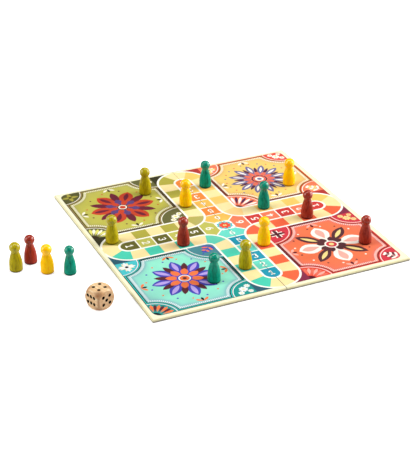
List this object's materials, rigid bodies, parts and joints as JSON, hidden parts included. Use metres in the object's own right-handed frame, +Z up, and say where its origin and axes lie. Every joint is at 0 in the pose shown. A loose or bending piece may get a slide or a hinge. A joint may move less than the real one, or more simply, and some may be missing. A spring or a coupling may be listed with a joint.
{
  "type": "ludo board",
  "caption": "Square ludo board of wrapped greyboard that folds in half on a taped hinge, with turned wooden pawns in four colours and a round-cornered wooden die.",
  "frame": {"origin": "middle of the fold on the board's underside, at the table", "axes": "+X across the fold towards the right-hand half, +Y along the fold towards the back edge, +Z up out of the printed face"},
  "size_m": [0.3315, 0.25, 0.0307],
  "materials": {
    "greyboard": "raw grey card",
    "printed_paper": "printed paper with a satin varnish",
    "liner_paper": "plain cream liner paper",
    "cloth_tape": "woven cloth tape",
    "olive_paint": "satin paint on wood",
    "red_paint": "satin paint on wood",
    "yellow_paint": "satin paint on wood",
    "teal_paint": "satin paint on wood",
    "beech": "bare sanded beech, black pips"
  },
  "bodies": {
    "left_half": {"left_core_board": "greyboard", "left_print_sheet": "printed_paper", "left_back_liner": "liner_paper", "fold_tape": "cloth_tape"},
    "right_half": {"right_core_board": "greyboard", "right_print_sheet": "printed_paper", "right_back_liner": "liner_paper"},
    "pawn_olive_1_piece": {"pawn_olive_1": "olive_paint"},
    "pawn_olive_2_piece": {"pawn_olive_2": "olive_paint"},
    "pawn_olive_3_piece": {"pawn_olive_3": "olive_paint"},
    "pawn_olive_4_piece": {"pawn_olive_4": "olive_paint"},
    "pawn_red_1_piece": {"pawn_red_1": "red_paint"},
    "pawn_red_2_piece": {"pawn_red_2": "red_paint"},
    "pawn_red_3_piece": {"pawn_red_3": "red_paint"},
    "pawn_red_4_piece": {"pawn_red_4": "red_paint"},
    "pawn_yellow_1_piece": {"pawn_yellow_1": "yellow_paint"},
    "pawn_yellow_2_piece": {"pawn_yellow_2": "yellow_paint"},
    "pawn_yellow_3_piece": {"pawn_yellow_3": "yellow_paint"},
    "pawn_yellow_4_piece": {"pawn_yellow_4": "yellow_paint"},
    "pawn_teal_1_piece": {"pawn_teal_1": "teal_paint"},
    "pawn_teal_2_piece": {"pawn_teal_2": "teal_paint"},
    "pawn_teal_3_piece": {"pawn_teal_3": "teal_paint"},
    "pawn_teal_4_piece": {"pawn_teal_4": "teal_paint"},
    "die_piece": {"die": "beech"}
  },
  "joints": [
    {"name": "fold", "type": "hinge", "parent": "left_half", "child": "right_half", "pos_m": [0, 0, -0.00015], "axis": [0, 1, 0], "range_deg": [0, 180], "deforming": ["fold_tape"]},
    {"name": "lift_pawn_olive_1", "type": "slide", "parent": "left_half", "child": "pawn_olive_1_piece", "axis": [0, 0, 1], "range_m": [0, 0.04]},
    {"name": "lift_pawn_olive_2", "type": "slide", "parent": "left_half", "child": "pawn_olive_2_piece", "axis": [0, 0, 1], "range_m": [0, 0.04]},
    {"name": "lift_pawn_olive_3", "type": "slide", "parent": "left_half", "child": "pawn_olive_3_piece", "axis": [0, 0, 1], "range_m": [0, 0.04]},
    {"name": "lift_pawn_olive_4", "type": "slide", "parent": "left_half", "child": "pawn_olive_4_piece", "axis": [0, 0, 1], "range_m": [0, 0.04]},
    {"name": "lift_pawn_red_1", "type": "slide", "parent": "left_half", "child": "pawn_red_1_piece", "axis": [0, 0, 1], "range_m": [0, 0.04]},
    {"name": "lift_pawn_red_2", "type": "slide", "parent": "right_half", "child": "pawn_red_2_piece", "axis": [0, 0, 1], "range_m": [0, 0.04]},
    {"name": "lift_pawn_red_3", "type": "slide", "parent": "right_half", "child": "pawn_red_3_piece", "axis": [0, 0, 1], "range_m": [0, 0.04]},
    {"name": "lift_pawn_red_4", "type": "slide", "parent": "left_half", "child": "pawn_red_4_piece", "axis": [0, 0, 1], "range_m": [0, 0.04]},
    {"name": "lift_pawn_yellow_1", "type": "slide", "parent": "left_half", "child": "pawn_yellow_1_piece", "axis": [0, 0, 1], "range_m": [0, 0.04]},
    {"name": "lift_pawn_yellow_2", "type": "slide", "parent": "right_half", "child": "pawn_yellow_2_piece", "axis": [0, 0, 1], "range_m": [0, 0.04]},
    {"name": "lift_pawn_yellow_3", "type": "slide", "parent": "right_half", "child": "pawn_yellow_3_piece", "axis": [0, 0, 1], "range_m": [0, 0.04]},
    {"name": "lift_pawn_yellow_4", "type": "slide", "parent": "left_half", "child": "pawn_yellow_4_piece", "axis": [0, 0, 1], "range_m": [0, 0.04]},
    {"name": "lift_pawn_teal_1", "type": "slide", "parent": "right_half", "child": "pawn_teal_1_piece", "axis": [0, 0, 1], "range_m": [0, 0.04]},
    {"name": "lift_pawn_teal_2", "type": "slide", "parent": "right_half", "child": "pawn_teal_2_piece", "axis": [0, 0, 1], "range_m": [0, 0.04]},
    {"name": "lift_pawn_teal_3", "type": "slide", "parent": "left_half", "child": "pawn_teal_3_piece", "axis": [0, 0, 1], "range_m": [0, 0.04]},
    {"name": "lift_pawn_teal_4", "type": "slide", "parent": "left_half", "child": "pawn_teal_4_piece", "axis": [0, 0, 1], "range_m": [0, 0.04]},
    {"name": "lift_die", "type": "slide", "parent": "left_half", "child": "die_piece", "axis": [0, 0, 1], "range_m": [0, 0.04]}
  ]
}
